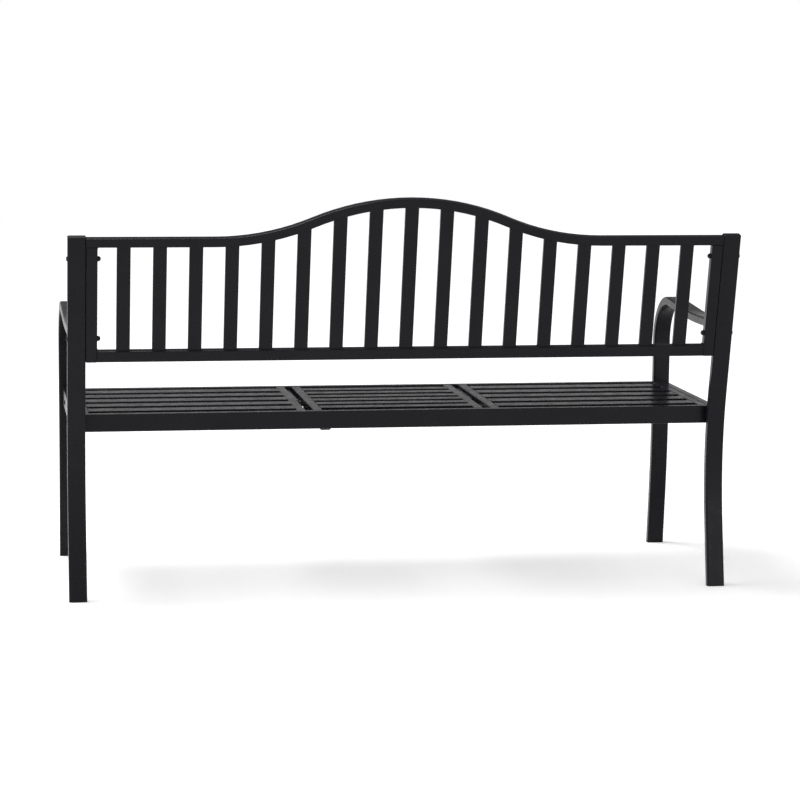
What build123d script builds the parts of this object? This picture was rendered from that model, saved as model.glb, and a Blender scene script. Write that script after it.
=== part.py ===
from build123d import *
import os
from collections import namedtuple
from math import cos, radians, sin, tan

# Garden bench of bent and welded steel tube. Its middle table lies flush in the seat and swings
# forward and up on a parallelogram of flat links.
# Lengths are in millimetres and angles in degrees. +X is the sitter's left, -Y the front, +Z up,
# and the origin lies on the floor under the middle of the bench.

# Whole bench
overall_width = 1500.0
seat_top_z = 411.5

# Tube of the end frames
leg_tube_width = 40.0
leg_tube_depth = 20.0
leg_tube_wall = 1.5
leg_tube_corner = 4.0

# Front leg and armrest, one bent tube, on its centre line
front_leg_y = -287.4
front_knee_z = 235.0
front_knee_radius = 2000.0
front_foot_angle = 6.0
arm_crest_z = 628.3
arm_bend_radius = 110.0
arm_fall_angle = 4.5
arm_level_drop = 25.5
arm_sag_radius = 900.0

# Rear post, on its centre line
rear_knee_inset = 1.3
rear_knee_z = 297.0
rear_knee_radius = 759.0
rear_foot_angle = 10.2
back_recline = 12.75

# Back frame: heights run up the recline from the knee of the rear posts
post_tube_height = 528.0
top_rail_drop = 0.2
top_rail_size = 20.0
top_rail_wall = 1.5
top_rail_corner = 2.5
arch_half_span = 430.0
arch_rise = 88.0
bottom_rail_height = 245.4
back_frame_width = 25.0
back_frame_depth = 20.0
back_frame_wall = 1.5
back_frame_corner = 3.0
back_slat_width = 30.0
back_slat_depth = 10.0
back_slat_wall = 1.0
back_slat_corner = 1.5
back_slat_count = 17
back_end_gap_share = 0.85

# Plastic caps in the tube ends
cap_flange = 3.0
cap_bevel = 1.0
plug_length = 14.0
plug_play = 0.1

# Seat frame
seat_front_gap = 2.6
seat_depth = 453.0
seat_rail_width = 20.0
seat_rail_height = 40.0
seat_rail_wall = 1.5
seat_rail_corner = 2.5
seat_slat_width = 45.0
seat_slat_thickness = 10.0
seat_slat_wall = 1.2
seat_slat_corner = 1.5
seat_slat_count = 5

# Bolts and cap nuts
bolt_diameter = 6.0
bolt_hole_play = 0.2
bolt_head_diameter = 11.0
bolt_head_height = 2.5
bolt_head_round = 1.9
upper_bolt_drop = 47.3
lower_bolt_rise = 53.1
seat_bolt_inset = 105.0
nut_across_flats = 10.0
nut_hex_height = 3.5
nut_dome_diameter = 9.4
nut_dome_height = 3.5
nut_dome_round = 3.2
thread_play = 0.05

# Table
table_rail_size = 20.0
table_rail_wall = 1.2
table_rail_corner = 2.0
table_half_width = 195.0
table_channel = 18.0
table_end_clearance = 2.5
table_slat_width = 35.0
table_slat_thickness = 10.0
table_slat_wall = 1.2
table_slat_corner = 1.5
table_slat_count = 6
table_end_gap_share = 1.37

# Links of the table and their pivots
link_length = 180.0
link_width = 16.0
link_thickness = 5.0
link_stand_off = 8.5
front_pivot_inset = 24.0
front_pivot_drop = 14.0
rear_pivot_spread = 80.0
rear_pivot_drop = 32.0
cross_tube_diameter = 16.0
cross_tube_wall = 1.5
lift_angle = 97.0
pin_diameter = 8.0
pin_play = 0.05
pin_head_diameter = 12.0
pin_head_height = 2.5
spacer_diameter = 16.0
side_play = 0.3
hinge_plate_thickness = 4.0
hinge_plate_length = 40.0
hinge_plate_round = 10.0
stud_diameter = 6.0
stud_drop = 2.0
stud_play = 0.5

# Rest tabs and grip plate
rest_tab_thickness = 3.0
rest_tab_reach = 14.0
rest_tab_leg = 15.0
rest_play = 0.3
grip_thickness = 3.0
grip_width = 28.0
grip_drop = 28.0
grip_offset = 14.0
grip_bevel = 4.0
grip_shoulder = 8.0
grip_lip = 13.0
grip_inset = 15.0

# The least inner corner radius of a tube, as a share of its wall, and the overrun of cuts
least_corner_share = 0.3
overrun = 20.0

Tube = namedtuple("Tube", "width depth wall corner")
leg_tube = Tube(leg_tube_width, leg_tube_depth, leg_tube_wall, leg_tube_corner)
top_tube = Tube(top_rail_size, top_rail_size, top_rail_wall, top_rail_corner)
back_tube = Tube(back_frame_width, back_frame_depth, back_frame_wall, back_frame_corner)
back_slat = Tube(back_slat_width, back_slat_depth, back_slat_wall, back_slat_corner)
seat_tube = Tube(seat_rail_width, seat_rail_height, seat_rail_wall, seat_rail_corner)
seat_slat = Tube(seat_slat_width, seat_slat_thickness, seat_slat_wall, seat_slat_corner)
table_tube = Tube(table_rail_size, table_rail_size, table_rail_wall, table_rail_corner)
table_slat = Tube(table_slat_width, table_slat_thickness, table_slat_wall, table_slat_corner)

across_x = Vector(1, 0, 0)
across_y = Vector(0, 1, 0)

# Places that several pieces share
side_x = (overall_width - leg_tube_width) / 2
inner_face_x = overall_width / 2 - leg_tube_width
upright_x = inner_face_x - back_frame_width / 2
upright_inner_x = inner_face_x - back_frame_width
seat_end_x = side_x - seat_rail_width / 2
seat_rail_z = seat_top_z - seat_rail_height / 2
seat_front_y = front_leg_y + leg_tube_depth / 2 + seat_front_gap
seat_rear_y = seat_front_y + seat_depth
rear_knee_y = seat_rear_y - rear_knee_inset
arm_level_z = arm_crest_z - arm_level_drop
opening_front_y = seat_front_y + seat_rail_width
opening_rear_y = seat_rear_y - seat_rail_width
inner_rail_inner_x = table_half_width + table_channel
inner_rail_x = inner_rail_inner_x + seat_rail_width / 2
inner_rail_outer_x = inner_rail_inner_x + seat_rail_width
table_rail_x = table_half_width - table_rail_size / 2
table_rail_z = seat_top_z - table_rail_size / 2
table_under_z = seat_top_z - table_rail_size
table_front_y = opening_front_y + table_end_clearance
table_rear_y = opening_rear_y - table_end_clearance
link_inner_x = table_half_width + link_stand_off
link_outer_x = link_inner_x + link_thickness
front_pivot = Vector(0, opening_front_y + front_pivot_inset, seat_top_z - front_pivot_drop)
rear_pivot = Vector(0, front_pivot.Y + rear_pivot_spread, seat_top_z - rear_pivot_drop)
link_reach = Vector(0, link_length, 0)

# The plane of the back: local x is X, local y runs up the recline and local z faces forward
recline = radians(back_recline)
back_plane = Plane(
    origin=(0, rear_knee_y, rear_knee_z), x_dir=(1, 0, 0), z_dir=(0, -cos(recline), sin(recline))
)
back_rear_face = -leg_tube_depth / 2
frame_depth_centre = back_rear_face + back_frame_depth / 2
bottom_rail_top = bottom_rail_height + back_frame_width
upright_foot_height = bottom_rail_height + cap_flange
top_rail_height = post_tube_height - top_rail_drop
top_rail_level = top_rail_height - top_rail_size / 2
top_rail_under = top_rail_height - top_rail_size


def outline(tube):
    """The outer outline of a tube's section."""
    return RectangleRounded(tube.width, tube.depth, tube.corner)


def bore_outline(tube, play=0):
    """The outline of a tube's bore, or of a plug that fits it with some play all round."""
    corner = max(tube.corner - tube.wall, tube.wall * least_corner_share)
    inset = 2 * (tube.wall + play)
    return RectangleRounded(tube.width - inset, tube.depth - inset, corner)


def section(tube):
    """The section of a hollow tube."""
    return outline(tube) - bore_outline(tube)


def swept(face, path, across):
    """Carry a section along a bent path, with its width along the direction across."""
    start = Plane(origin=path @ 0, x_dir=across, z_dir=path % 0)
    return sweep(start * face, path=path)


def straight(face, start, end, across):
    """Carry a section from one point to another, with its width along the direction across."""
    run = Vector(*end) - Vector(*start)
    plane = Plane(origin=start, x_dir=across, z_dir=run.normalized())
    return extrude(plane * face, amount=run.length)


def side_plane(x):
    """A plane square to X, on which local x is Y and local y is Z."""
    return Plane(origin=(x, 0, 0), x_dir=(0, 1, 0), z_dir=(1, 0, 0))


def rod(x_from, x_to, centre, diameter):
    """A round bar along X through a point."""
    disc = side_plane(x_from) * Pos(centre.Y, centre.Z) * Circle(diameter / 2)
    return extrude(disc, amount=x_to - x_from)


def pin_bore(x_from, x_to, centre):
    """The bore along X that a pivot pin passes through."""
    return rod(x_from, x_to, centre, pin_diameter + 2 * pin_play)


def above(shape, height):
    """What a shape has above a level."""
    return split(shape, bisect_by=Plane.XY.offset(height), keep=Keep.TOP)


def below(shape, height):
    """What a shape has below a level."""
    return split(shape, bisect_by=Plane.XY.offset(height), keep=Keep.BOTTOM)


def spaced(start, end, count, width, end_gap_share=1):
    """Centres of bars of one width between two places, with even gaps and a share of one at each end."""
    gap = (end - start - count * width) / (count - 1 + 2 * end_gap_share)
    first = start + end_gap_share * gap + width / 2
    return [first + number * (width + gap) for number in range(count)]


def both_sides(shape):
    """A shape on the left and its mirror image on the right."""
    return [shape, mirror(shape, about=Plane.YZ)]


def on_back(x, height, forward=0):
    """A point of the back plane."""
    return back_plane.from_local_coords(Vector(x, height, forward))


# End frames

def foot_point(knee_y, knee_z, angle, height, kick):
    """A point of the straight run below a knee; kick is -1 to the front and 1 to the rear."""
    return (side_x, knee_y + kick * (knee_z - height) * tan(radians(angle)), height)


def front_path():
    """Centre line of the left front leg and armrest, from below the floor to the rear post."""
    fall_run = (arm_crest_z - arm_level_z) / tan(radians(arm_fall_angle))
    post_y = rear_knee_y + (arm_level_z - rear_knee_z) * tan(recline)
    return FilletPolyline(
        foot_point(front_leg_y, front_knee_z, front_foot_angle, -overrun, -1),
        (side_x, front_leg_y, front_knee_z),
        (side_x, front_leg_y, arm_crest_z),
        (side_x, front_leg_y + fall_run, arm_level_z),
        (side_x, post_y, arm_level_z),
        radius=[front_knee_radius, arm_bend_radius, arm_sag_radius],
    )


def rear_path():
    """Centre line of the left rear post, from below the floor to its top."""
    return FilletPolyline(
        foot_point(rear_knee_y, rear_knee_z, rear_foot_angle, -overrun, 1),
        (side_x, rear_knee_y, rear_knee_z),
        on_back(side_x, post_tube_height),
        radius=rear_knee_radius,
    )


def bolt_places():
    """Heights of the back bolts on the posts."""
    return [post_tube_height - upper_bolt_drop, bottom_rail_height + lower_bolt_rise]


def bolt_hole(centre):
    """The drill for a bolt through one side of the bench."""
    return rod(0, overall_width, centre, bolt_diameter + 2 * bolt_hole_play)


def seat_bolt_points():
    """Centres of the two seat bolts of one side."""
    return [
        Vector(0, seat_front_y + seat_bolt_inset, seat_rail_z),
        Vector(0, seat_rear_y - seat_bolt_inset, seat_rail_z),
    ]


def rear_post():
    post = above(swept(section(leg_tube), rear_path(), across_x), cap_flange)
    for height in bolt_places():
        post -= bolt_hole(on_back(0, height))
    return post


def armrest_leg():
    tube = above(swept(section(leg_tube), front_path(), across_x), cap_flange)
    post_front = Plane(origin=on_back(0, 0, leg_tube_depth / 2), z_dir=back_plane.z_dir)
    return split(tube, bisect_by=post_front, keep=Keep.TOP)


def side_rail():
    start = (side_x, front_leg_y + leg_tube_depth / 2, seat_rail_z)
    end = (side_x, rear_knee_y + (seat_rail_z - rear_knee_z) * tan(recline), seat_rail_z)
    rail = straight(section(seat_tube), start, end, across_x)
    rail -= swept(outline(leg_tube), rear_path(), across_x)
    for centre in seat_bolt_points():
        rail -= bolt_hole(centre)
    return rail


def end_cap(tube):
    """A plastic cap on a tube end at the origin, its flange above and its plug below."""
    flange = extrude(outline(tube), amount=cap_flange)
    flange = chamfer(flange.edges().group_by(Axis.Z)[-1], cap_bevel)
    return flange + extrude(bore_outline(tube, plug_play), amount=-plug_length)


def post_cap():
    top = Plane(origin=on_back(side_x, post_tube_height), x_dir=across_x, z_dir=back_plane.y_dir)
    return top.location * end_cap(leg_tube)


def foot_cap(knee_y, knee_z, angle, kick):
    """A plastic foot: a flat flange on the floor and a plug up the slanted tube."""
    low = foot_point(knee_y, knee_z, angle, -overrun, kick)
    high = foot_point(knee_y, knee_z, angle, overrun + plug_length, kick)
    flange = below(above(straight(outline(leg_tube), low, high, across_x), 0), cap_flange)
    plug = straight(bore_outline(leg_tube, plug_play), low, high, across_x)
    return flange + below(above(plug, cap_flange), cap_flange + plug_length)


# Back frame

def top_rail_path():
    """Centre line of the top rail on the back plane: level ends and an arch of tangent arcs."""
    half_way = (arch_half_span / 2, top_rail_level + arch_rise / 2)
    left_end = Line((-inner_face_x, top_rail_level), (-arch_half_span, top_rail_level))
    left_rise = TangentArc(left_end @ 1, (-half_way[0], half_way[1]), tangent=left_end % 1)
    crown = TangentArc(left_rise @ 1, half_way, tangent=left_rise % 1)
    right_fall = TangentArc(crown @ 1, (arch_half_span, top_rail_level), tangent=crown % 1)
    right_end = Line(right_fall @ 1, (inner_face_x, top_rail_level))
    return Wire([left_end.edge(), left_rise.edge(), crown.edge(), right_fall.edge(), right_end.edge()])


def back_top_rail():
    return back_plane.location * swept(section(top_tube), top_rail_path(), across_y)


def back_bottom_rail():
    height = bottom_rail_height + back_frame_width / 2
    start = (-upright_inner_x, height, frame_depth_centre)
    end = (upright_inner_x, height, frame_depth_centre)
    return back_plane.location * straight(section(back_tube), start, end, across_y)


def back_upright():
    start = (upright_x, upright_foot_height, frame_depth_centre)
    end = (upright_x, top_rail_under, frame_depth_centre)
    tube = back_plane.location * straight(section(back_tube), start, end, across_x)
    for height in bolt_places():
        tube -= bolt_hole(on_back(0, height))
    return tube


def upright_plug():
    end = Plane(
        origin=on_back(upright_x, upright_foot_height, frame_depth_centre),
        x_dir=across_x,
        z_dir=-back_plane.y_dir,
    )
    return end.location * end_cap(back_tube)


def back_slats():
    """The upright slats from right to left, their tops cut to the underside of the arch."""
    arch = swept(outline(top_tube), top_rail_path(), across_y)
    places = spaced(
        -upright_inner_x, upright_inner_x, back_slat_count, back_slat_width, back_end_gap_share
    )
    slats = []
    for x in places:
        start = (x, bottom_rail_top, 0)
        end = (x, top_rail_level + arch_rise, 0)
        pieces = straight(section(back_slat), start, end, across_x) - arch
        slats.append(back_plane.location * pieces.solids().sort_by(Axis.Y)[0])
    return slats


# Bolts and nuts

def button_bolt(length):
    """A bolt with its head above the origin and its shank below."""
    head = extrude(Circle(bolt_head_diameter / 2), amount=bolt_head_height)
    head = fillet(head.edges().group_by(Axis.Z)[-1], bolt_head_round)
    return head + extrude(Circle(bolt_diameter / 2), amount=-length)


def cap_nut():
    """A closed nut standing on the origin, bored from below."""
    hexagon = RegularPolygon(nut_across_flats / 2, side_count=6, major_radius=False)
    body = extrude(hexagon, amount=nut_hex_height)
    dome = extrude(Circle(nut_dome_diameter / 2), amount=nut_hex_height + nut_dome_height)
    dome = fillet(dome.edges().group_by(Axis.Z)[-1], nut_dome_round)
    bore = extrude(Circle(bolt_diameter / 2 + thread_play), amount=nut_hex_height)
    return body + dome - bore


def left_bolt(head_x, nut_x, centre):
    """A bolt on the left, its head outside at head_x and its shank up to the nut's bore end."""
    place = Plane(origin=(head_x, centre.Y, centre.Z), z_dir=(1, 0, 0))
    return place.location * button_bolt(head_x - nut_x + nut_hex_height)


def left_nut(nut_x, centre):
    """A cap nut on the left, against the inboard face at nut_x."""
    return Plane(origin=(nut_x, centre.Y, centre.Z), z_dir=(-1, 0, 0)).location * cap_nut()


# Seat frame

def cross_rail(y):
    """A rail of the seat over its whole width."""
    start = (-seat_end_x, y, seat_rail_z)
    return straight(section(seat_tube), start, (seat_end_x, y, seat_rail_z), across_y)


def long_rail(x):
    """A rail of the seat from its front rail to its rear rail."""
    start = (x, opening_front_y, seat_rail_z)
    return straight(section(seat_tube), start, (x, opening_rear_y, seat_rail_z), across_x)


def seat_end_rail():
    rail = long_rail(seat_end_x - seat_rail_width / 2)
    for centre in seat_bolt_points():
        rail -= bolt_hole(centre)
    return rail


def seat_inner_rail():
    rail = long_rail(inner_rail_x)
    for pivot in (front_pivot, rear_pivot):
        rail -= pin_bore(inner_rail_inner_x - overrun, inner_rail_outer_x + overrun, pivot)
    return rail


def seat_slats():
    """The slats of the left seat."""
    z = seat_top_z - seat_slat_thickness / 2
    outer_x = seat_end_x - seat_rail_width
    return [
        straight(section(seat_slat), (inner_rail_outer_x, y, z), (outer_x, y, z), across_y)
        for y in spaced(opening_front_y, opening_rear_y, seat_slat_count, seat_slat_width)
    ]


# Table

def table_rail():
    """The left side rail of the table, bored for the front link's pin."""
    start = (table_rail_x, table_front_y, table_rail_z)
    rail = straight(section(table_tube), start, (table_rail_x, table_rear_y, table_rail_z), across_x)
    inner_x = table_half_width - table_rail_size
    return rail - pin_bore(inner_x - overrun, table_half_width + overrun, front_pivot + link_reach)


def table_slats():
    z = seat_top_z - table_slat_thickness / 2
    half = table_half_width - table_rail_size
    places = spaced(
        table_front_y, table_rear_y, table_slat_count, table_slat_width, table_end_gap_share
    )
    return [straight(section(table_slat), (-half, y, z), (half, y, z), across_y) for y in places]


def hinge_plate():
    """The plate under the left table rail that carries the rear link's pin."""
    pivot = rear_pivot + link_reach
    ear = Circle(hinge_plate_round)
    top = table_under_z - pivot.Z
    foot = Line((-hinge_plate_length / 2, top), (hinge_plate_length / 2, top))
    plate = make_hull([*ear.edges(), foot.edge()]) - Circle(pin_diameter / 2 + pin_play)
    place = side_plane(table_half_width - hinge_plate_thickness) * Pos(pivot.Y, pivot.Z)
    return extrude(place * plate, amount=hinge_plate_thickness)


def grip_plate():
    """The hand grip under the rear of the left table rail, leaning inboard as it goes down."""
    right = table_half_width - grip_offset
    left = right - grip_width
    bottom = table_under_z - grip_drop
    points = [
        (table_half_width - table_rail_size, table_under_z),
        (table_half_width, table_under_z),
        (table_half_width, table_under_z - grip_shoulder),
        (right, bottom + grip_bevel),
        (right - grip_bevel, bottom),
        (left + grip_bevel, bottom),
        (left, bottom + grip_bevel),
        (left, bottom + grip_lip),
    ]
    plane = Plane(origin=(0, table_rear_y - grip_inset, 0), x_dir=(1, 0, 0), z_dir=(0, -1, 0))
    return extrude(plane * Polygon(*points, align=None), amount=grip_thickness)


def stop_stud():
    """The stud on the left table rail that the front link meets when the table is up."""
    lift = radians(lift_angle)
    down_link = Vector(0, -cos(lift), -sin(lift))
    behind_link = Vector(0, sin(lift), -cos(lift))
    stand_off = link_width / 2 + stud_diameter / 2 + stud_play
    centre = front_pivot + link_reach + behind_link * stand_off + down_link * stud_drop
    return rod(table_half_width, link_outer_x, centre, stud_diameter)


def flat_link(pivot):
    """A left link lying back from its pivot on the frame, bored for both of its pins."""
    bar = SlotCenterToCenter(link_length, link_width)
    for end in (-link_length / 2, link_length / 2):
        bar -= Pos(end, 0) * Circle(pin_diameter / 2 + pin_play)
    place = side_plane(link_inner_x) * Pos(pivot.Y + link_length / 2, pivot.Z)
    return extrude(place * bar, amount=link_thickness)


def cross_tube():
    """The round tube that ties the two rear links together at half their length."""
    centre = rear_pivot + link_reach / 2
    bore = cross_tube_diameter - 2 * cross_tube_wall
    tube = rod(-link_inner_x, link_inner_x, centre, cross_tube_diameter)
    return tube - rod(-link_inner_x - overrun, link_inner_x + overrun, centre, bore)


def pivot_pin(x_from, x_to, centre):
    """A pin between two places along X, with a riveted head beyond each of them."""
    pin = rod(x_from, x_to, centre, pin_diameter)
    pin += rod(x_from - pin_head_height, x_from, centre, pin_head_diameter)
    return pin + rod(x_to, x_to + pin_head_height, centre, pin_head_diameter)


def spacer(x_from, x_to, centre):
    """A tube over a pin between a rail and a link."""
    return rod(x_from, x_to, centre, spacer_diameter) - pin_bore(x_from, x_to, centre)


def frame_pins():
    return [
        pivot_pin(link_inner_x - side_play, inner_rail_outer_x, pivot)
        for pivot in (front_pivot, rear_pivot)
    ]


def frame_spacers():
    return [
        spacer(link_outer_x + side_play, inner_rail_inner_x, pivot)
        for pivot in (front_pivot, rear_pivot)
    ]


def table_pins():
    """The left pins on the table: the front one through its rail, the rear one through its plate."""
    rail_inner_x = table_half_width - table_rail_size
    plate_inner_x = table_half_width - hinge_plate_thickness
    return [
        pivot_pin(rail_inner_x, link_outer_x + side_play, front_pivot + link_reach),
        pivot_pin(plate_inner_x, link_outer_x + side_play, rear_pivot + link_reach),
    ]


def table_spacers():
    return [
        spacer(table_half_width, link_inner_x - side_play, pivot + link_reach)
        for pivot in (front_pivot, rear_pivot)
    ]


def rest_tabs():
    """Small angles on the front and rear rails, under the ends of the left table rail."""
    top = table_under_z - rest_play
    tabs = []
    for y, inward in ((opening_front_y, 1), (opening_rear_y, -1)):
        points = [
            (y, top),
            (y + inward * rest_tab_reach, top),
            (y + inward * rest_tab_reach, top - rest_tab_thickness),
            (y + inward * rest_tab_thickness, top - rest_tab_thickness),
            (y + inward * rest_tab_thickness, top - rest_tab_leg),
            (y, top - rest_tab_leg),
        ]
        plane = side_plane(table_half_width - table_rail_size)
        tabs.append(extrude(plane * Polygon(*points, align=None), amount=table_rail_size))
    return tabs


# All pieces by node

nodes = {}


def add(name, *shapes):
    """Keep the solids of one node."""
    nodes[name] = [solid for shape in shapes for solid in shape.solids()]


def add_pair(name, shape):
    """Keep a piece of the left side and its mirror image on the right."""
    left, right = both_sides(shape)
    add(name + "_left", left)
    add(name + "_right", right)


def add_all_round(name, shapes):
    """Keep pieces of the left side together with their mirror images."""
    add(name, *[piece for shape in shapes for piece in both_sides(shape)])


add_pair("rear_post", rear_post())
add_pair("armrest_leg", armrest_leg())
add_pair("side_rail", side_rail())
add_all_round("post_caps", [post_cap()])
add_all_round("foot_caps", [
    foot_cap(front_leg_y, front_knee_z, front_foot_angle, -1),
    foot_cap(rear_knee_y, rear_knee_z, rear_foot_angle, 1),
])

add("back_top_rail", back_top_rail())
add("back_bottom_rail", back_bottom_rail())
add_pair("back_upright", back_upright())
add_all_round("upright_plugs", [upright_plug()])
for number, slat in enumerate(back_slats(), start=1):
    add(f"back_slat_{number:02d}", slat)

back_bolt_points = [on_back(0, height) for height in bolt_places()]
back_bolts = [left_bolt(overall_width / 2, upright_inner_x, point) for point in back_bolt_points]
add_all_round("back_bolts", back_bolts)
add_all_round("back_nuts", [left_nut(upright_inner_x, point) for point in back_bolt_points])

add("seat_front_rail", cross_rail(seat_front_y + seat_rail_width / 2))
add("seat_rear_rail", cross_rail(seat_rear_y - seat_rail_width / 2))
add_pair("seat_end_rail", seat_end_rail())
add_pair("seat_inner_rail", seat_inner_rail())
left_slats = seat_slats()
add("seat_slats_left", *left_slats)
add("seat_slats_right", *[mirror(slat, about=Plane.YZ) for slat in left_slats])

side_rail_outer_x = side_x + seat_rail_width / 2
end_rail_inner_x = seat_end_x - seat_rail_width
seat_bolts = [left_bolt(side_rail_outer_x, end_rail_inner_x, point) for point in seat_bolt_points()]
add_all_round("seat_bolts", seat_bolts)
add_all_round("seat_nuts", [left_nut(end_rail_inner_x, point) for point in seat_bolt_points()])

add_pair("table_rail", table_rail())
add("table_slats", *table_slats())
add_all_round("table_hinge_plates", [hinge_plate()])
add("table_grip", grip_plate())
add_all_round("stop_studs", [stop_stud()])
add_pair("front_link", flat_link(front_pivot))
add_pair("rear_link", flat_link(rear_pivot))
add("link_cross_tube", cross_tube())
add_all_round("frame_pivot_pins", frame_pins())
add_all_round("frame_spacers", frame_spacers())
add_all_round("table_pivot_pins", table_pins())
add_all_round("table_spacers", table_spacers())
add_all_round("rest_tabs", rest_tabs())

os.makedirs("parts", exist_ok=True)
for name, solids in nodes.items():
    export_step(solids[0] if len(solids) == 1 else Compound(solids), f"parts/{name}.step")
print(len(nodes), "nodes")
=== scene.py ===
"""Finishes, weld beads, bolts and studio of a steel garden bench with a lift-up middle table."""

import random
from math import cos, pi, radians, sin

import bmesh
import bpy
from bpy.props import FloatProperty, FloatVectorProperty, IntProperty, PointerProperty
from bpy.types import Operator, Panel, PropertyGroup
from mathutils import Matrix, Vector


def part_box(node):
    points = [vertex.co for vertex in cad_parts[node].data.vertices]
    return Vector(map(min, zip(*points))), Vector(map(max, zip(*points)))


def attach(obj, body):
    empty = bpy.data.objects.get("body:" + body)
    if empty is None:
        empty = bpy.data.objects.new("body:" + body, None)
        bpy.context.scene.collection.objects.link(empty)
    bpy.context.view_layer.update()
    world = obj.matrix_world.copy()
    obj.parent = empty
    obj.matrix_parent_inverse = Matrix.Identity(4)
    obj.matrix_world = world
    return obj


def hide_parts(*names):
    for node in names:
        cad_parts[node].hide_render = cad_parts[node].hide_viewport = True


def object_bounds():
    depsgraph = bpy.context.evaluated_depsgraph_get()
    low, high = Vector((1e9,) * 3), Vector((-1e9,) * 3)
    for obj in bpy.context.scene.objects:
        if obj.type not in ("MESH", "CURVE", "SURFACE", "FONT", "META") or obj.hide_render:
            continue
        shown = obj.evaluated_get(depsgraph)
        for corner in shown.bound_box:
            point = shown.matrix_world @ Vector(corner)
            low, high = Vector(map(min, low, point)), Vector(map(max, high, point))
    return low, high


bl_info = {
    "name": "Garden bench with lifting table",
    "version": (1, 0, 0),
    "blender": (4, 5, 0),
    "location": "3D View > Sidebar > Garden bench",
    "description": "Powder coat, weld beads, bolts, rivets and studio of a steel garden bench",
    "category": "Object",
}

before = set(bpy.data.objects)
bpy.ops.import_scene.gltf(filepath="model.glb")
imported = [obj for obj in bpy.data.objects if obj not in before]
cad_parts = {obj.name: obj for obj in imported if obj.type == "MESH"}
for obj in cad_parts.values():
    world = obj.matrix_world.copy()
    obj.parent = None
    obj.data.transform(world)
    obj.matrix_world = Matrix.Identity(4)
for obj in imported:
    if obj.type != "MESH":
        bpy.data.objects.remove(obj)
cad_low, cad_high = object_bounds()

across = Vector((1, 0, 0))
lengthwise = Vector((0, 1, 0))
upward = Vector((0, 0, 1))
slat_nodes = sorted(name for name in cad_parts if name.startswith("back_slat_"))
cap_nodes = ("post_caps", "foot_caps", "upright_plugs")
spacer_nodes = ("frame_spacers", "table_spacers")
plate_nodes = ("table_hinge_plates", "table_grip", "stop_studs", "rest_tabs", "link_cross_tube",
               "front_link_left", "front_link_right", "rear_link_left", "rear_link_right",
               *spacer_nodes)
coat_name = "powder_coat_satin_black"
white = (1, 1, 1, 1)

# Limits and counts of the meshes

sharp_angle = radians(40)
join_distance = 1e-6
sort_digits = 4
edge_segments = 2
corner_middle_share = 0.3
cross_tube_points = 24

# Proportions of the turned fasteners

dome_steps = 8
bolt_tip_share = 0.15
bolt_skirt_share = 0.15
socket_rim_share = 1.3
flange_bevel_share = 0.4
hexagon_flat_share = 0.85
hexagon_top_share = 0.97
nut_dome_share = 0.94
dome_top_share = 0.2
rivet_skirt_share = 0.2

# Where most of a noise's values lie

noise_low = 0.3
noise_high = 0.7


# Settings that a user would change

class PowderCoatSettings(PropertyGroup):
    """Finish of the steel tubes, plates and links."""
    colour: FloatVectorProperty(
        name="Colour", description="Black of the powder coat", subtype="COLOR",
        size=3, min=0, max=1, default=(0.0074, 0.0073, 0.0100))
    light_colour: FloatVectorProperty(
        name="Lighter colour", description="Where the coat lies thin", subtype="COLOR",
        size=3, min=0, max=1, default=(0.0098, 0.0096, 0.0128))
    roughness: FloatProperty(
        name="Roughness", description="Mean roughness of the coat", subtype="FACTOR",
        min=0, max=1, default=0.28)
    roughness_spread: FloatProperty(
        name="Roughness spread", description="How far the roughness wanders", subtype="FACTOR",
        min=0, max=1, default=0.05)
    specular: FloatProperty(
        name="Specular level", description="Reflection seen square on", subtype="FACTOR",
        min=0, max=1, default=0.12)
    tone_patch: FloatProperty(
        name="Tone patch", description="Width of the slow changes of tone", unit="LENGTH", default=0.09)
    gloss_patch: FloatProperty(
        name="Gloss patch", description="Width of the changes of gloss", unit="LENGTH", default=0.02)
    peel_size: FloatProperty(
        name="Peel size", description="Width of one ripple of the coat", unit="LENGTH", default=0.0016)
    peel_height: FloatProperty(
        name="Peel height", description="Height of the ripples", unit="LENGTH", default=0.000003)


class CapSettings(PropertyGroup):
    """Finish of the moulded caps and feet."""
    colour: FloatVectorProperty(
        name="Colour", description="Black of the plastic", subtype="COLOR",
        size=3, min=0, max=1, default=(0.008, 0.008, 0.0088))
    roughness: FloatProperty(
        name="Roughness", description="Mean roughness of the plastic", subtype="FACTOR",
        min=0, max=1, default=0.5)
    roughness_spread: FloatProperty(
        name="Roughness spread", description="How far the roughness wanders", subtype="FACTOR",
        min=0, max=1, default=0.05)
    specular: FloatProperty(
        name="Specular level", description="Reflection seen square on", subtype="FACTOR",
        min=0, max=1, default=0.15)
    tone_patch: FloatProperty(
        name="Tone patch", description="Width of the slow changes of tone", unit="LENGTH", default=0.03)
    dark_share: FloatProperty(
        name="Dark share", description="Tone of the darkest patches as a share of the colour",
        subtype="FACTOR", min=0, max=1, default=0.8)
    grain_size: FloatProperty(
        name="Grain size", description="Width of the moulded grain", unit="LENGTH", default=0.0005)
    grain_height: FloatProperty(
        name="Grain height", description="Depth of the moulded grain", unit="LENGTH", default=0.00002)


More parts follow.
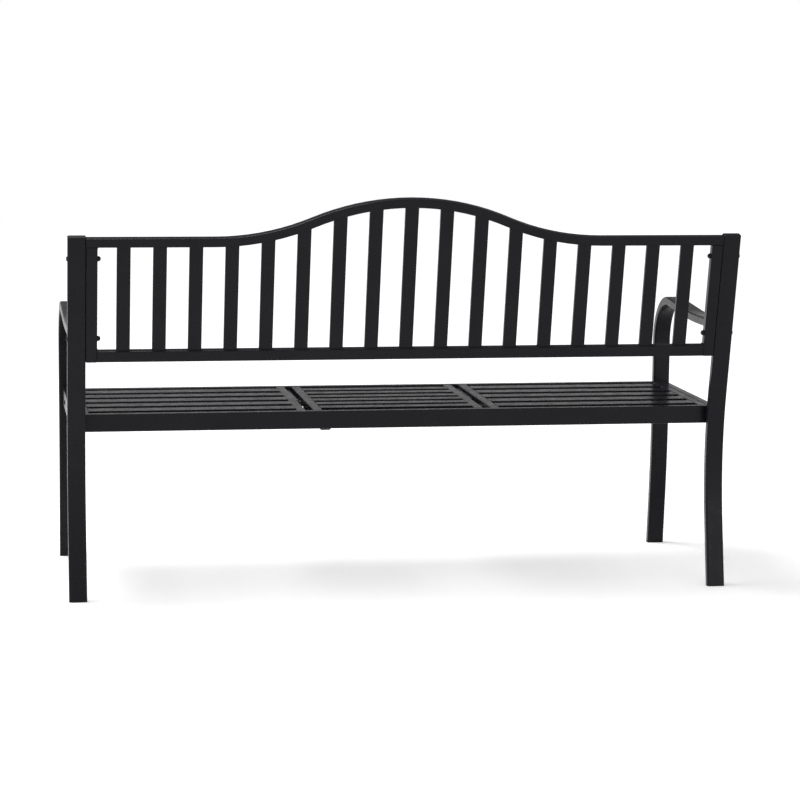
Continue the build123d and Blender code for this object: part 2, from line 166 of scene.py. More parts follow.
class FastenerSettings(PropertyGroup):
    """Bolts, nuts, rivets and the edges of plates."""
    colour: FloatVectorProperty(
        name="Colour", description="Black of the fasteners", subtype="COLOR",
        size=3, min=0, max=1, default=(0.007, 0.007, 0.0078))
    roughness: FloatProperty(
        name="Roughness", description="Mean roughness of the fasteners", subtype="FACTOR",
        min=0, max=1, default=0.36)
    roughness_spread: FloatProperty(
        name="Roughness spread", description="How far the roughness wanders", subtype="FACTOR",
        min=0, max=1, default=0.07)
    specular: FloatProperty(
        name="Specular level", description="Reflection seen square on", subtype="FACTOR",
        min=0, max=1, default=0.12)
    tone_patch: FloatProperty(
        name="Tone patch", description="Width of the changes of tone", unit="LENGTH", default=0.006)
    light_share: FloatProperty(
        name="Light share", description="Tone of the lightest patches as a share of the colour", min=1,
        default=1.5)
    mark_size: FloatProperty(
        name="Mark size", description="Width of the faint marks", unit="LENGTH", default=0.0012)
    mark_height: FloatProperty(
        name="Mark height", description="Height of the faint marks", unit="LENGTH", default=0.00001)
    socket_width: FloatProperty(
        name="Socket width", description="Across the flats of the hexagon socket", unit="LENGTH",
        default=0.004)
    socket_depth: FloatProperty(
        name="Socket depth", description="Depth of the hexagon socket", unit="LENGTH", default=0.0019)
    shank_diameter: FloatProperty(
        name="Bolt diameter", description="Diameter of the bolt shanks", unit="LENGTH", default=0.006)
    head_height: FloatProperty(
        name="Head height", description="Height of a bolt head", unit="LENGTH", default=0.0025)
    flange_diameter: FloatProperty(
        name="Nut flange", description="Diameter of the flange under a cap nut", unit="LENGTH",
        default=0.0122)
    flange_height: FloatProperty(
        name="Flange height", description="Thickness of that flange", unit="LENGTH", default=0.0011)
    nut_width: FloatProperty(
        name="Nut width", description="Across the flats of a cap nut", unit="LENGTH", default=0.0107)
    nut_hex_height: FloatProperty(
        name="Hexagon height", description="Height of a cap nut's hexagon", unit="LENGTH", default=0.0038)
    nut_height: FloatProperty(
        name="Nut height", description="Height of a cap nut with its dome", unit="LENGTH", default=0.007)
    bore_depth: FloatProperty(
        name="Bore depth", description="How far a bolt reaches into a cap nut", unit="LENGTH",
        default=0.0035)
    bore_play: FloatProperty(
        name="Bore play", description="Room round a bolt in its nut", unit="LENGTH", default=0.00005)
    rivet_diameter: FloatProperty(
        name="Rivet diameter", description="Diameter of the pivot rivets", unit="LENGTH", default=0.008)
    rivet_head: FloatProperty(
        name="Rivet head", description="Height of a rivet head", unit="LENGTH", default=0.0025)
    edge_width: FloatProperty(
        name="Plate edge", description="Width of the broken edges of plates and links", unit="LENGTH",
        default=0.0005)
    sides: IntProperty(
        name="Sides", description="Sides of the turned parts", min=12, max=96, default=48)


class WeldSettings(PropertyGroup):
    """Weld beads where tubes meet."""
    radius: FloatProperty(
        name="Bead radius", description="Radius of a bead", unit="LENGTH", default=0.0015)
    ripple_length: FloatProperty(
        name="Ripple length", description="Distance from one ripple to the next", unit="LENGTH",
        default=0.0021)
    ripple_share: FloatProperty(
        name="Ripple share", description="Height of a ripple as a share of the radius",
        subtype="FACTOR", min=0, max=1, default=0.12)
    wander_share: FloatProperty(
        name="Wander share", description="Uneven width as a share of the radius",
        subtype="FACTOR", min=0, max=1, default=0.1)
    end_share: FloatProperty(
        name="End share", description="Radius of a bead's open end as a share of the radius",
        subtype="FACTOR", min=0, max=1, default=0.4)
    corner_radius: FloatProperty(
        name="Corner radius", description="How the bead rounds a tube's corner", unit="LENGTH",
        default=0.002)
    step: FloatProperty(
        name="Step", description="Distance between the rings of a bead", unit="LENGTH", default=0.0007)
    sides: IntProperty(name="Sides", description="Sides of a bead", min=5, max=16, default=7)
    seed: IntProperty(name="Seed", description="Seed of the beads' uneven width", default=7)


class StageSettings(PropertyGroup):
    """Camera, floor and lights."""
    camera_place: FloatVectorProperty(
        name="Camera place", description="Where the camera stands", subtype="TRANSLATION",
        size=3, default=(0.9753, 6.0144, 1.2325))
    camera_turn: FloatProperty(
        name="Camera turn", description="Turn of the view from straight ahead", subtype="ANGLE",
        default=radians(9.470))
    camera_dip: FloatProperty(
        name="Camera dip", description="How far the view looks down", subtype="ANGLE",
        default=radians(7.682))
    camera_roll: FloatProperty(
        name="Camera roll", description="Tilt of the camera about its view", subtype="ANGLE",
        default=radians(-0.501))
    lens: FloatProperty(
        name="Lens", description="Focal length of the camera", subtype="DISTANCE_CAMERA", default=118.9)
    farthest: FloatProperty(
        name="Farthest", description="Distance up to which the camera sees", unit="LENGTH", default=100.0)
    floor_size: FloatProperty(
        name="Floor size", description="Side of the floor", unit="LENGTH", default=24.0)
    floor_colour: FloatVectorProperty(
        name="Floor colour", description="Pale colour of the floor", subtype="COLOR",
        size=3, min=0, max=1, default=(0.9, 0.9, 0.9))
    floor_patch: FloatProperty(
        name="Floor patch", description="Width of the floor's changes of tone", unit="LENGTH",
        default=0.4)
    floor_light_share: FloatProperty(
        name="Floor light share", description="Tone of the palest patches as a share of the colour",
        min=1, default=1.02)
    floor_roughness: FloatProperty(
        name="Floor roughness", description="Roughness of the floor", subtype="FACTOR",
        min=0, max=1, default=0.9)
    near_glow: FloatProperty(
        name="Near glow", description="White that the floor adds in view beside the bench", min=0,
        default=0.25)
    far_glow: FloatProperty(
        name="Far glow", description="White that the floor adds in view far from the bench", min=0,
        default=0.62)
    glow_start: FloatProperty(
        name="Glow start", description="Distance at which the glow begins to grow", unit="LENGTH",
        default=1.1)
    glow_end: FloatProperty(
        name="Glow end", description="Distance at which the glow is full", unit="LENGTH", default=4.0)
    sky_level: FloatProperty(
        name="Sky level", description="Light that the white room gives", min=0, default=0.55)
    sweep_top: FloatProperty(
        name="Sweep top", description="Sine of the height at which the white sweep has faded",
        min=0.05, max=1, default=0.28)
    ceiling_level: FloatProperty(
        name="Ceiling level", description="What gloss sees above the white sweep", min=0, default=0.15)
    wall_start: FloatProperty(
        name="Wall start", description="Sine of the turn to the back at which a white wall begins",
        min=-1, max=1, default=-0.2)
    wall_end: FloatProperty(
        name="Wall end", description="Sine of the turn to the back at which that wall is white",
        min=-1, max=1, default=0.3)
    key_power: FloatProperty(
        name="Key power", description="Power of the soft light above", unit="POWER", default=130.0)
    key_size: FloatProperty(
        name="Key size", description="Diameter of the soft light above", unit="LENGTH", default=2.4)
    key_offset: FloatVectorProperty(
        name="Key offset", description="Place of the light above from the bench's middle",
        subtype="TRANSLATION", size=3, default=(1.2, -0.6, 3.0))
    fill_power: FloatProperty(
        name="Fill power", description="Power of the soft light at the side", unit="POWER", default=20.0)
    fill_size: FloatProperty(
        name="Fill size", description="Diameter of the soft light at the side", unit="LENGTH",
        default=2.0)
    fill_offset: FloatVectorProperty(
        name="Fill offset", description="Place of the light at the side from the bench's middle",
        subtype="TRANSLATION", size=3, default=(-2.6, 4.9, 0.7))


# Reading the frame

def solid_boxes(node):
    """Lowest and highest corner of each separate solid of a node."""
    mesh = bmesh.new()
    mesh.from_mesh(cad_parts[node].data)
    bmesh.ops.remove_doubles(mesh, verts=mesh.verts, dist=join_distance)
    waiting = set(mesh.verts)
    boxes = []
    while waiting:
        reached = [waiting.pop()]
        for vertex in reached:
            for edge in vertex.link_edges:
                other = edge.other_vert(vertex)
                if other in waiting:
                    waiting.remove(other)
                    reached.append(other)
        boxes.append(corners_of([vertex.co for vertex in reached]))
    mesh.free()
    return sorted(boxes, key=lambda box: [round(place, sort_digits) for place in box[0]])


def corners_of(places):
    """Lowest and highest corner of some points."""
    low = Vector([min(place[axis] for place in places) for axis in range(3)])
    high = Vector([max(place[axis] for place in places) for axis in range(3)])
    return low, high


def back_axes():
    """Directions of the leaning back: across it, up it and out of its rear face."""
    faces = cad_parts["back_bottom_rail"].data.polygons
    normal = max(faces, key=lambda face: face.area).normal.copy()
    rear = normal if normal.y > 0 else -normal
    return Matrix((across, across.cross(rear), rear))


def leaning(node, axes):
    """A node's points in the directions of the back."""
    return [axes @ vertex.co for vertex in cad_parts[node].data.vertices]


# Meshes

def new_object(name, mesh, material):
    """Puts a finished mesh into the scene as an object with one finish."""
    data = bpy.data.meshes.new(name)
    mesh.to_mesh(data)
    mesh.free()
    data.materials.append(material)
    made = bpy.data.objects.new(name, data)
    bpy.context.scene.collection.objects.link(made)
    return made


def new_piece(name, mesh, body, material):
    """Shades a mesh smooth between its sharp edges and lets it ride on a body as a piece."""
    bmesh.ops.recalc_face_normals(mesh, faces=mesh.faces)
    for face in mesh.faces:
        face.smooth = True
    for edge in mesh.edges:
        if len(edge.link_faces) == 2 and edge.calc_face_angle() > sharp_angle:
            edge.smooth = False
    piece = new_object(name, mesh, material)
    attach(piece, body)
    return piece


def circle(distance, radius):
    """A round ring of a turned part, at a distance along its axis."""
    return distance, radius, False


def hexagon(distance, radius):
    """A six-sided ring of a turned part, whose radius reaches the middle of its sides."""
    return distance, radius, True


def turned(mesh, centre, direction, rings, sides):
    """Adds a turned part that runs through its rings and is closed at both ends."""
    up = direction.orthogonal().normalized()
    side = direction.cross(up)
    loops = []
    for distance, radius, is_hexagon in rings:
        loop = []
        for number in range(sides):
            angle = 2 * pi * number / sides
            reach = radius
            if is_hexagon:
                reach = radius / cos((angle + pi / 6) % (pi / 3) - pi / 6)
            arm = up * (reach * cos(angle)) + side * (reach * sin(angle))
            loop.append(mesh.verts.new(centre + direction * distance + arm))
        loops.append(loop)
    for loop, following in zip(loops, loops[1:]):
        for number in range(sides):
            after = (number + 1) % sides
            mesh.faces.new((loop[number], loop[after], following[after], following[number]))
    mesh.faces.new(reversed(loops[0]))
    mesh.faces.new(loops[-1])


def dome(base, height, radius, top_radius):
    """Rings of a domed head from its edge at base to a flat top."""
    rings = []
    for number in range(dome_steps + 1):
        angle = pi / 2 * number / dome_steps
        reach = top_radius + (radius - top_radius) * cos(angle)
        rings.append(circle(base + height * sin(angle), reach))
    return rings


def bead_path(corners, closed, weld):
    """Points along a polygon with its corners rounded off."""
    stops = []
    for index, corner in enumerate(corners):
        if not closed and index in (0, len(corners) - 1):
            stops.append(corner)
            continue
        before = (corners[index - 1] - corner).normalized() * weld.corner_radius
        after = (corners[(index + 1) % len(corners)] - corner).normalized() * weld.corner_radius
        stops += [corner + before, corner + (before + after) * corner_middle_share, corner + after]
    if closed:
        stops.append(stops[0])
    path = []
    for start, end in zip(stops, stops[1:]):
        count = max(1, round((end - start).length / weld.step))
        path += [start.lerp(end, number / count) for number in range(count)]
    if not closed:
        path.append(stops[-1])
    return path


def bead(mesh, corners, reference, weld, chance, closed=True):
    """Lays a rippled weld bead along a polygon; reference is roughly square to the path."""
    path = bead_path(corners, closed, weld)
    count = len(path)
    phase = chance.uniform(0, 2 * pi)
    loops = []
    run = 0
    for index, place in enumerate(path):
        before = path[index - 1] if closed or index else place
        after = path[(index + 1) % count] if closed or index < count - 1 else place
        along = (after - before).normalized()
        side = along.cross(reference).normalized()
        up = side.cross(along)
        if index:
            run += (place - path[index - 1]).length
        ripple = weld.ripple_share * sin(2 * pi * run / weld.ripple_length + phase)
        radius = weld.radius * (1 + ripple + chance.uniform(-1, 1) * weld.wander_share)
        if not closed and index in (0, count - 1):
            radius *= weld.end_share
        loops.append([
            mesh.verts.new(place + radius * (side * cos(turn) + up * sin(turn)))
            for turn in [2 * pi * number / weld.sides for number in range(weld.sides)]
        ])
    pairs = list(zip(loops, loops[1:]))
    if closed:
        pairs.append((loops[-1], loops[0]))
    for loop, following in pairs:
        for number in range(weld.sides):
            after = (number + 1) % weld.sides
            mesh.faces.new((loop[number], loop[after], following[after], following[number]))
    if not closed:
        mesh.faces.new(reversed(loops[0]))
        mesh.faces.new(loops[-1])


# Materials

def new_material(name):
    """A new node material, its tree, its shader and the mesh's own coordinates."""
    material = bpy.data.materials.get(name)
    if material:
        bpy.data.materials.remove(material)
    material = bpy.data.materials.new(name)
    material.use_nodes = True
    tree = material.node_tree
    shader = tree.nodes["Principled BSDF"]
    places = tree.nodes.new("ShaderNodeTexCoord").outputs["Object"]
    return material, tree, shader, places


def noise(tree, places, feature, detail=2.0):
    """Soft noise whose features have a real width."""
    node = tree.nodes.new("ShaderNodeTexNoise")
    node.inputs["Scale"].default_value = 1 / feature
    node.inputs["Detail"].default_value = detail
    tree.links.new(places, node.inputs["Vector"])
    return node.outputs["Fac"]


def mapped(tree, value, start, end, low, high):
    """A node that runs from low to high while a value runs from start to end."""
    node = tree.nodes.new("ShaderNodeMapRange")
    node.inputs["From Min"].default_value = start
    node.inputs["From Max"].default_value = end
    node.inputs["To Min"].default_value = low
    node.inputs["To Max"].default_value = high
    tree.links.new(value, node.inputs["Value"])
    return node


def ranged(tree, value, low, high):
    """A noise stretched between two numbers."""
    return mapped(tree, value, noise_low, noise_high, low, high).outputs["Result"]


def roughened(tree, value, settings):
    """The roughness of a finish, which wanders with a noise."""
    low = settings.roughness - settings.roughness_spread
    high = settings.roughness + settings.roughness_spread
    return ranged(tree, value, low, high)


def combined(tree, operation, first, second):
    """Two values put together by a maths node."""
    node = tree.nodes.new("ShaderNodeMath")
    node.operation = operation
    tree.links.new(first, node.inputs[0])
    tree.links.new(second, node.inputs[1])
    return node.outputs[0]


def blended(tree, value, first, second):
    """A colour between two, by a value."""
    node = tree.nodes.new("ShaderNodeMix")
    node.data_type = "RGBA"
    node.inputs["A"].default_value = (*first, 1)
    node.inputs["B"].default_value = (*second, 1)
    tree.links.new(value, node.inputs["Factor"])
    return node.outputs["Result"]


def bumped(tree, height, distance, below=None):
    """A bump of a real height, on top of another where there is one."""
    node = tree.nodes.new("ShaderNodeBump")
    node.inputs["Strength"].default_value = 1.0
    node.inputs["Distance"].default_value = distance
    tree.links.new(height, node.inputs["Height"])
    if below:
        tree.links.new(below, node.inputs["Normal"])
    return node.outputs["Normal"]


def powder_coat(settings):
    """Satin black powder coat: a fine peel and slow changes of tone and gloss."""
    material, tree, shader, places = new_material(coat_name)
    tone = ranged(tree, noise(tree, places, settings.tone_patch), 0, 1)
    colour = blended(tree, tone, settings.colour, settings.light_colour)
    tree.links.new(colour, shader.inputs["Base Color"])
    gloss = noise(tree, places, settings.gloss_patch, detail=3.0)
    tree.links.new(roughened(tree, gloss, settings), shader.inputs["Roughness"])
    peel = bumped(tree, noise(tree, places, settings.peel_size), settings.peel_height)
    grit_size = settings.peel_size / 3
    grit_height = settings.peel_height / 4
    grit = bumped(tree, noise(tree, places, grit_size, detail=1.0), grit_height, peel)
    tree.links.new(grit, shader.inputs["Normal"])
    shader.inputs["Specular IOR Level"].default_value = settings.specular
    return material


def cap_plastic(settings):
    """Matte black moulded plastic with a fine grain."""
    material, tree, shader, places = new_material("cap_plastic_matte_black")
    tone = ranged(tree, noise(tree, places, settings.tone_patch), 0, 1)
    darker = [channel * settings.dark_share for channel in settings.colour]
    tree.links.new(blended(tree, tone, darker, settings.colour), shader.inputs["Base Color"])
    grain = noise(tree, places, settings.grain_size, detail=1.0)
    tree.links.new(roughened(tree, grain, settings), shader.inputs["Roughness"])
    tree.links.new(bumped(tree, grain, settings.grain_height), shader.inputs["Normal"])
    shader.inputs["Specular IOR Level"].default_value = settings.specular
    return material


def fastener_black(settings):
    """Black fasteners, a little duller than the tubes, with faint marks."""
    material, tree, shader, places = new_material("fastener_black")
    tone = ranged(tree, noise(tree, places, settings.tone_patch), 0, 1)
    lighter = [channel * settings.light_share for channel in settings.colour]
    tree.links.new(blended(tree, tone, settings.colour, lighter), shader.inputs["Base Color"])
    marks = noise(tree, places, settings.mark_size, detail=3.0)
    tree.links.new(roughened(tree, marks, settings), shader.inputs["Roughness"])
    tree.links.new(bumped(tree, marks, settings.mark_height), shader.inputs["Normal"])
    shader.inputs["Specular IOR Level"].default_value = settings.specular
    return material


def floor_white(stage):
    """Pale floor that looks white where no shadow falls."""
    material, tree, shader, places = new_material("studio_floor")
    shader.inputs["Roughness"].default_value = stage.floor_roughness
    shader.inputs["Specular IOR Level"].default_value = 0
    tone = ranged(tree, noise(tree, places, stage.floor_patch), 0, 1)
    paler = [min(1, channel * stage.floor_light_share) for channel in stage.floor_colour]
    tree.links.new(blended(tree, tone, stage.floor_colour, paler), shader.inputs["Base Color"])
    distance = tree.nodes.new("ShaderNodeVectorMath")
    distance.operation = "LENGTH"
    tree.links.new(places, distance.inputs[0])
    growth = mapped(tree, distance.outputs["Value"], stage.glow_start, stage.glow_end,
                    stage.near_glow, stage.far_glow)
    growth.interpolation_type = "SMOOTHSTEP"
    strength = combined(tree, "MULTIPLY", seen_in_view(tree), growth.outputs["Result"])
    glow = tree.nodes.new("ShaderNodeEmission")
    tree.links.new(strength, glow.inputs["Strength"])
    total = tree.nodes.new("ShaderNodeAddShader")
    tree.links.new(shader.outputs["BSDF"], total.inputs[0])
    tree.links.new(glow.outputs["Emission"], total.inputs[1])
    tree.links.new(total.outputs["Shader"], tree.nodes["Material Output"].inputs["Surface"])
    return material


def seen_in_view(tree):
    """1 for rays of the camera, of gloss and of glass, and 0 for light that falls on things."""
    rays = tree.nodes.new("ShaderNodeLightPath").outputs
    seen = rays["Is Camera Ray"]
    for kind in ("Is Glossy Ray", "Is Transmission Ray"):
        seen = combined(tree, "MAXIMUM", seen, rays[kind])
    return seen


def finish_node(name, material):
    """Gives a CAD node's slots one finish."""
    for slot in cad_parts[name].material_slots:
        slot.material = material


# Operators

class BENCH_OT_powder_coat(Operator):
    """Coat every steel tube, rail, slat, plate and link"""
    bl_idname = "bench.powder_coat"
    bl_label = "Powder coat"

    def execute(self, context):
        material = powder_coat(context.scene.bench_powder_coat)
        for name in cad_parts:
            finish_node(name, material)
        return {"FINISHED"}


class BENCH_OT_caps(Operator):
    """Give the tube caps and feet their moulded plastic"""
    bl_idname = "bench.caps"
    bl_label = "Plastic caps"

    def execute(self, context):
        material = cap_plastic(context.scene.bench_caps)
        for name in cap_nodes:
            finish_node(name, material)
        return {"FINISHED"}


class BENCH_OT_fasteners(Operator):
    """Make the socket bolts, cap nuts and pivot rivets, and finish the spacers"""
    bl_idname = "bench.fasteners"
    bl_label = "Bolts, nuts and rivets"

    def execute(self, context):
        settings = context.scene.bench_fasteners
        material = fastener_black(settings)
        for name in spacer_nodes:
            finish_node(name, material)
        self.bolts("back_bolts", "back_socket_bolts", settings, material)
        self.bolts("seat_bolts", "seat_socket_bolts", settings, material)
        self.nuts("back_nuts", "back_cap_nuts", settings, material)
        self.nuts("seat_nuts", "seat_cap_nuts", settings, material)
        self.rivets("frame_pivot_pins", "frame_pivot_rivets", "frame", settings, material)
        self.rivets("table_pivot_pins", "table_pivot_rivets", "table", settings, material)
        return {"FINISHED"}

    def bolts(self, node, name, settings, material):
        """Socket bolts in the place of one node's plain ones."""
        shank = settings.shank_diameter / 2
        tip = shank * bolt_tip_share
        top = settings.head_height
        skirt = top * bolt_skirt_share
        socket = settings.socket_width / 2
        rim = socket * socket_rim_share
        mesh = bmesh.new()
        for low, high in solid_boxes(node):
            middle = (low + high) / 2
            outward = across if middle.x > 0 else -across
            head = (high.z - low.z) / 2
            length = high.x - low.x - top
            seat = max(abs(low.x), abs(high.x)) - top
            rings = [circle(-length, shank - tip), circle(tip - length, shank)]
            rings += [circle(0, shank), circle(0, head)]
            rings += dome(skirt, top - skirt, head, rim)
            rings += [hexagon(top, socket), hexagon(top - settings.socket_depth, socket)]
            centre = Vector((seat * outward.x, middle.y, middle.z))
            turned(mesh, centre, outward, rings, settings.sides)
        piece = new_piece(name, mesh, "frame", material)
        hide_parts(node)

    def nuts(self, node, name, settings, material):
        """Flanged cap nuts in the place of one node's plain ones."""
        bore = settings.shank_diameter / 2 + settings.bore_play
        flange = settings.flange_diameter / 2
        step = settings.flange_height
        bevel = step * flange_bevel_share
        half = settings.nut_width / 2
        shoulder = settings.nut_hex_height
        dome_height = settings.nut_height - shoulder
        rings = [circle(settings.bore_depth, bore), circle(0, bore), circle(0, flange)]
        rings += [circle(step - bevel, flange), circle(step, flange - bevel)]
        rings += [hexagon(step, half), hexagon(shoulder * hexagon_flat_share, half)]
        rings += [circle(shoulder, half * hexagon_top_share)]
        rings += dome(shoulder, dome_height, half * nut_dome_share, half * dome_top_share)
        mesh = bmesh.new()
        for low, high in solid_boxes(node):
            middle = (low + high) / 2
            inward = -across if middle.x > 0 else across
            seat = high.x if middle.x > 0 else low.x
            turned(mesh, Vector((seat, middle.y, middle.z)), inward, rings, settings.sides)
        piece = new_piece(name, mesh, "frame", material)
        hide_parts(node)

    def rivets(self, node, name, body, settings, material):
        """Domed rivets in the place of one node's plain pins."""
        shank = settings.rivet_diameter / 2
        head = settings.rivet_head
        skirt = head * rivet_skirt_share
        mesh = bmesh.new()
        for low, high in solid_boxes(node):
            middle = (low + high) / 2
            reach = (high.z - low.z) / 2
            length = high.x - low.x - 2 * head
            far_dome = dome(length + skirt, head - skirt, reach, reach * dome_top_share)
            near_dome = [circle(length - distance, radius) for distance, radius, _ in reversed(far_dome)]
            rings = [*near_dome, circle(0, reach), circle(0, shank)]
            rings += [circle(length, shank), circle(length, reach), *far_dome]
            centre = Vector((low.x + head, middle.y, middle.z))
            turned(mesh, centre, across, rings, settings.sides)
        piece = new_piece(name, mesh, body, material)
        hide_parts(node)


class BENCH_OT_edges(Operator):
    """Break the sharp edges of plates, links, studs, tabs, spacers and the cross tube"""
    bl_idname = "bench.edges"
    bl_label = "Plate edges"

    def execute(self, context):
        for name in plate_nodes:
            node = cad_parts[name]
            join = node.modifiers.new("join", "WELD")
            join.merge_threshold = join_distance
            bevel = node.modifiers.new("edge", "BEVEL")
            bevel.width = context.scene.bench_fasteners.edge_width
            bevel.segments = edge_segments
            bevel.limit_method = "ANGLE"
            bevel.angle_limit = sharp_angle
        return {"FINISHED"}


class BENCH_OT_welds(Operator):
    """Lay the weld beads where tubes meet"""
    bl_idname = "bench.welds"
    bl_label = "Weld beads"

    def execute(self, context):
        self.weld = context.scene.bench_welds
        self.chance = random.Random(self.weld.seed)
        self.material = bpy.data.materials[coat_name]
        self.back()
        self.end_frames()
        self.seat()
        self.table()
        self.links()
        return {"FINISHED"}

    def lay(self, mesh, corners, reference, closed=True):
        """A bead in the sizes of the settings."""
        bead(mesh, corners, reference, self.weld, self.chance, closed)

    def keep(self, name, mesh, body):
        """Makes one piece of the beads of a body, coated like the tubes."""
        new_piece(name, mesh, body, self.material)

    def back(self):
        """Beads round the feet and heads of the slats and in the corners of uprights and rails."""
        mesh = bmesh.new()
        axes = back_axes()
        home = axes.transposed()
        up = axes[1]
        side_margin = 0.0005
        for name in slat_nodes:
            places = leaning(name, axes)
            low, high = corners_of(places)
            left_top = max(place.y for place in places if place.x < low.x + side_margin)
            right_top = max(place.y for place in places if place.x > high.x - side_margin)
            for left, right in ((low.y, low.y), (left_top, right_top)):
                ring = [(low.x, left, low.z), (high.x, right, low.z), (high.x, right, high.z),
                        (low.x, left, high.z)]
                self.lay(mesh, [home @ Vector(place) for place in ring], up)
        rail_top = max(place.y for place in leaning("back_bottom_rail", axes))
        for name in ("back_upright_left", "back_upright_right"):
            low, high = corners_of(leaning(name, axes))
            x = low.x if low.x > 0 else high.x
            for y in (high.y, rail_top):
                ends = [home @ Vector((x, y, low.z)), home @ Vector((x, y, high.z))]
                self.lay(mesh, ends, up, closed=False)
        self.keep("back_weld_beads", mesh, "frame")

    def end_frames(self):
        """Beads at the ends of the side rails and where the armrests meet the posts."""
        mesh = bmesh.new()
        axes = back_axes()
        home = axes.transposed()
        corner_margin = 0.003
        touch_margin = 0.0002
        for side in ("left", "right"):
            low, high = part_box(f"side_rail_{side}")
            places = [vertex.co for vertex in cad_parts[f"side_rail_{side}"].data.vertices]
            top_end = max(place.y for place in places if place.z > high.z - corner_margin)
            low_end = max(place.y for place in places if place.z < low.z + corner_margin)
            for top_y, low_y in ((low.y, low.y), (top_end, low_end)):
                ring = [(low.x, low_y, low.z), (high.x, low_y, low.z), (high.x, top_y, high.z),
                        (low.x, top_y, high.z)]
                self.lay(mesh, [Vector(place) for place in ring], lengthwise)
            places = leaning(f"armrest_leg_{side}", axes)
            rear = max(place.z for place in places)
            low, high = corners_of([place for place in places if place.z > rear - touch_margin])
            for y in (low.y, high.y):
                ends = [home @ Vector((low.x, y, rear)), home @ Vector((high.x, y, rear))]
                self.lay(mesh, ends, lengthwise, closed=False)
        self.keep("end_frame_weld_beads", mesh, "frame")

    def under(self, mesh, corners, reference):
        """A bead down one side, along the underside and up the other side of a bar's end."""
        self.lay(mesh, [Vector(corner) for corner in corners], reference, closed=False)

    def seat(self):
        """Beads at the ends of the seat's rails and slats."""
        mesh = bmesh.new()
        for name in ("seat_end_rail_left", "seat_end_rail_right", "seat_inner_rail_left",
                     "seat_inner_rail_right"):
            low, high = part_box(name)
            for y in (low.y, high.y):
                corners = [(low.x, y, high.z), (low.x, y, low.z), (high.x, y, low.z), (high.x, y, high.z)]
                self.under(mesh, corners, lengthwise)
        for name in ("seat_slats_left", "seat_slats_right"):
            self.slat_ends(mesh, name)
        self.keep("seat_weld_beads", mesh, "frame")

    def slat_ends(self, mesh, node):
        """Beads under both ends of each slat of a node."""
        for low, high in solid_boxes(node):
            for x in (low.x, high.x):
                corners = [(x, low.y, high.z), (x, low.y, low.z), (x, high.y, low.z), (x, high.y, high.z)]
                self.under(mesh, corners, across)

    def table(self):
        """Beads at the ends of the table's slats and along its hinge plates."""
        mesh = bmesh.new()
        self.slat_ends(mesh, "table_slats")
        for low, high in solid_boxes("table_hinge_plates"):
            x = low.x if low.x > 0 else high.x
            ends = [Vector((x, low.y, high.z)), Vector((x, high.y, high.z))]
            self.lay(mesh, ends, upward, closed=False)
        self.keep("table_weld_beads", mesh, "table")

    def links(self):
        """A bead round each end of the tube that ties the rear links together."""
        mesh = bmesh.new()
        low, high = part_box("link_cross_tube")
        middle = (low + high) / 2
        radius = (high.z - low.z) / 2
        for x in (low.x, high.x):
            ring = []
            for number in range(cross_tube_points):
                angle = 2 * pi * number / cross_tube_points
                ring.append(Vector((x, middle.y + radius * cos(angle), middle.z + radius * sin(angle))))
            self.lay(mesh, ring, across)
        self.keep("link_weld_beads", mesh, "rear_links")


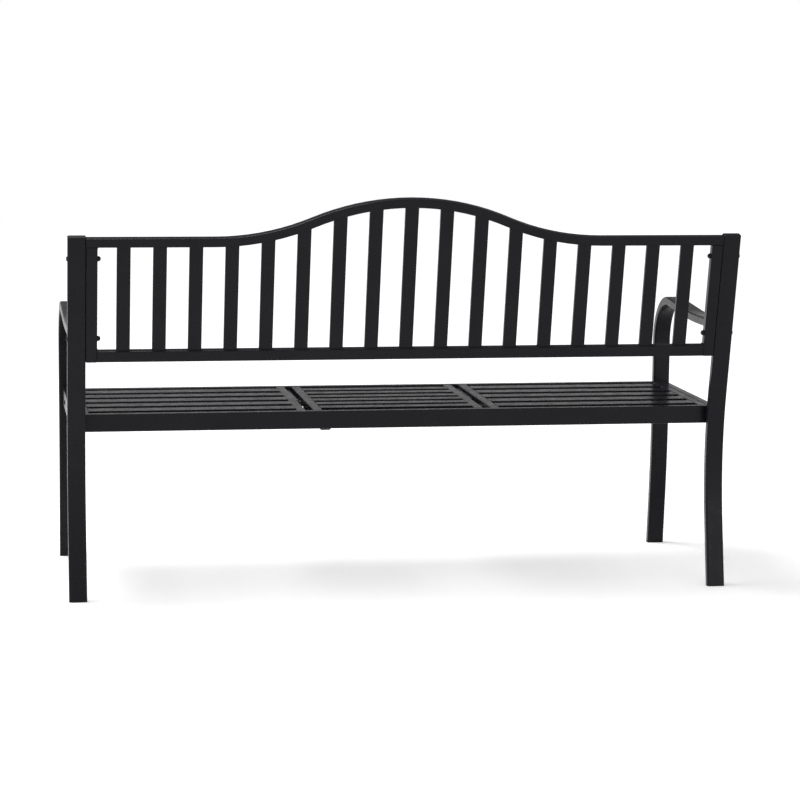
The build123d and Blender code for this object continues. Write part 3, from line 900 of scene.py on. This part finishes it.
class BENCH_OT_stage(Operator):
    """Set the floor, the soft lights, the white room and the camera"""
    bl_idname = "bench.stage"
    bl_label = "Stage"

    def execute(self, context):
        stage = context.scene.bench_stage
        self.floor(stage)
        self.room(context.scene, stage)
        self.lamp("key_light", stage.key_power, stage.key_size, stage.key_offset)
        self.lamp("fill_light", stage.fill_power, stage.fill_size, stage.fill_offset)
        self.camera(context.scene, stage)
        context.scene.view_settings.view_transform = "Standard"
        return {"FINISHED"}

    def floor(self, stage):
        """A square floor under the bench."""
        mesh = bmesh.new()
        half = stage.floor_size / 2
        corners = ((-half, -half), (half, -half), (half, half), (-half, half))
        mesh.faces.new([mesh.verts.new((x, y, 0)) for x, y in corners])
        floor = new_object("floor", mesh, floor_white(stage))

    def room(self, scene, stage):
        """An even white light, with the white sweep in its place wherever the room is seen."""
        world = bpy.data.worlds.new("white_room")
        world.use_nodes = True
        tree = world.node_tree
        light = tree.nodes["Background"]
        light.inputs["Color"].default_value = white
        light.inputs["Strength"].default_value = stage.sky_level
        view = tree.nodes.new("ShaderNodeBackground")
        view.inputs["Color"].default_value = white
        tree.links.new(self.sweep(tree, stage), view.inputs["Strength"])
        mix = tree.nodes.new("ShaderNodeMixShader")
        tree.links.new(seen_in_view(tree), mix.inputs["Fac"])
        tree.links.new(light.outputs["Background"], mix.inputs[1])
        tree.links.new(view.outputs["Background"], mix.inputs[2])
        tree.links.new(mix.outputs["Shader"], tree.nodes["World Output"].inputs["Surface"])
        scene.world = world

    def sweep(self, tree, stage):
        """White for the camera; gloss sees a white wall at the back and white fading upward in front."""
        direction = tree.nodes.new("ShaderNodeTexCoord").outputs["Generated"]
        parts = tree.nodes.new("ShaderNodeSeparateXYZ")
        tree.links.new(direction, parts.inputs[0])
        fade = mapped(tree, parts.outputs["Z"], 0, stage.sweep_top, 1, stage.ceiling_level)
        wall = mapped(tree, parts.outputs["Y"], stage.wall_start, stage.wall_end, 0, 1)
        level = tree.nodes.new("ShaderNodeLightPath").outputs["Is Camera Ray"]
        for other in (fade, wall):
            level = combined(tree, "MAXIMUM", level, other.outputs["Result"])
        return level

    def lamp(self, name, power, size, offset):
        """A round soft light at an offset from the bench's middle, which it faces."""
        target = (cad_low + cad_high) / 2
        place = target + Vector(offset)
        data = bpy.data.lights.new(name, "AREA")
        data.shape = "DISK"
        data.size = size
        data.energy = power
        lamp = bpy.data.objects.new(name, data)
        bpy.context.scene.collection.objects.link(lamp)
        lamp.location = place
        lamp.rotation_euler = (target - place).to_track_quat("-Z", "Y").to_euler()

    def camera(self, scene, stage):
        """A camera that looks ahead along its turn and dip, rolled about that view."""
        data = bpy.data.cameras.new("camera")
        data.lens = stage.lens
        data.clip_end = stage.farthest
        camera = bpy.data.objects.new("camera", data)
        scene.collection.objects.link(camera)
        turn, dip, roll = stage.camera_turn, stage.camera_dip, stage.camera_roll
        ahead = Vector((-sin(turn) * cos(dip), -cos(turn) * cos(dip), -sin(dip)))
        right = Vector((-cos(turn), sin(turn), 0))
        down = ahead.cross(right)
        rolled_right = right * cos(roll) + down * sin(roll)
        rolled_down = down * cos(roll) - right * sin(roll)
        camera.matrix_world = Matrix.Translation(stage.camera_place) @ Matrix(
            (rolled_right, -rolled_down, -ahead)).transposed().to_4x4()
        scene.camera = camera


class BENCH_PT_panel(Panel):
    """Shows each step's button and its settings in the sidebar"""
    bl_idname = "BENCH_PT_panel"
    bl_label = "Garden bench"
    bl_space_type = "VIEW_3D"
    bl_region_type = "UI"
    bl_category = "Garden bench"

    def draw(self, context):
        for operator, group in steps:
            box = self.layout.box()
            box.operator(operator.bl_idname)
            if not group:
                continue
            settings = getattr(context.scene, group)
            for name in settings.__annotations__:
                box.prop(settings, name)


steps = (
    (BENCH_OT_powder_coat, "bench_powder_coat"),
    (BENCH_OT_caps, "bench_caps"),
    (BENCH_OT_fasteners, "bench_fasteners"),
    (BENCH_OT_edges, None),
    (BENCH_OT_welds, "bench_welds"),
    (BENCH_OT_stage, "bench_stage"),
)
groups = {
    "bench_powder_coat": PowderCoatSettings,
    "bench_caps": CapSettings,
    "bench_fasteners": FastenerSettings,
    "bench_welds": WeldSettings,
    "bench_stage": StageSettings,
}
classes = [*groups.values(), *[operator for operator, _ in steps], BENCH_PT_panel]


def register():
    """Adds the settings, operators and panel to Blender."""
    for item in classes:
        bpy.utils.register_class(item)
    for name, group in groups.items():
        setattr(bpy.types.Scene, name, PointerProperty(type=group))


def unregister():
    """Takes them out again."""
    for name in groups:
        delattr(bpy.types.Scene, name)
    for item in reversed(classes):
        bpy.utils.unregister_class(item)


def main():
    """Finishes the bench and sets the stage."""
    register()
    bpy.ops.bench.powder_coat()
    bpy.ops.bench.caps()
    bpy.ops.bench.fasteners()
    bpy.ops.bench.edges()
    bpy.ops.bench.welds()
    bpy.ops.bench.stage()


if __name__ == "__main__":
    main()
